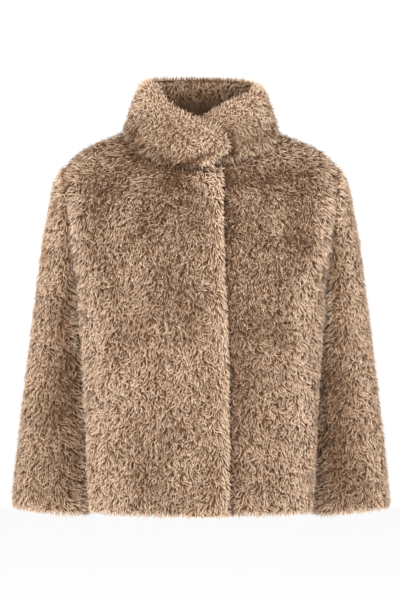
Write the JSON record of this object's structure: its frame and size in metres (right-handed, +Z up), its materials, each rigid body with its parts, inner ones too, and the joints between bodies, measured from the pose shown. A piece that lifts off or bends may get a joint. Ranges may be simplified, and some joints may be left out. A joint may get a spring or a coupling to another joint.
{
  "type": "faux fur coat",
  "caption": "Short hollow coat of long curly faux fur with a tall overlapped collar, a lapped front and straight sleeves.",
  "frame": {"origin": "middle of the neck, about level with the neck points of the shoulder seams, where the coat is held by the wearer", "axes": "+Z up, the front faces -Y, +X to the wearer's left"},
  "size_m": [0.6214, 0.2522, 0.72],
  "materials": {
    "body_pile": "long curly faux fur, taupe with lighter tips and darker roots",
    "sleeve_pile": "long curly faux fur, as on the body",
    "collar_pile": "long curly faux fur on both sides, a little lighter than the body",
    "neck_satin": "dark brown satin with a soft gloss"
  },
  "bodies": {
    "root": {"front_right": "body_pile", "front_left": "body_pile", "back": "body_pile", "sleeve_right": "sleeve_pile", "sleeve_left": "sleeve_pile", "collar": "collar_pile", "neck_lining": "neck_satin"}
  },
  "joints": []
}
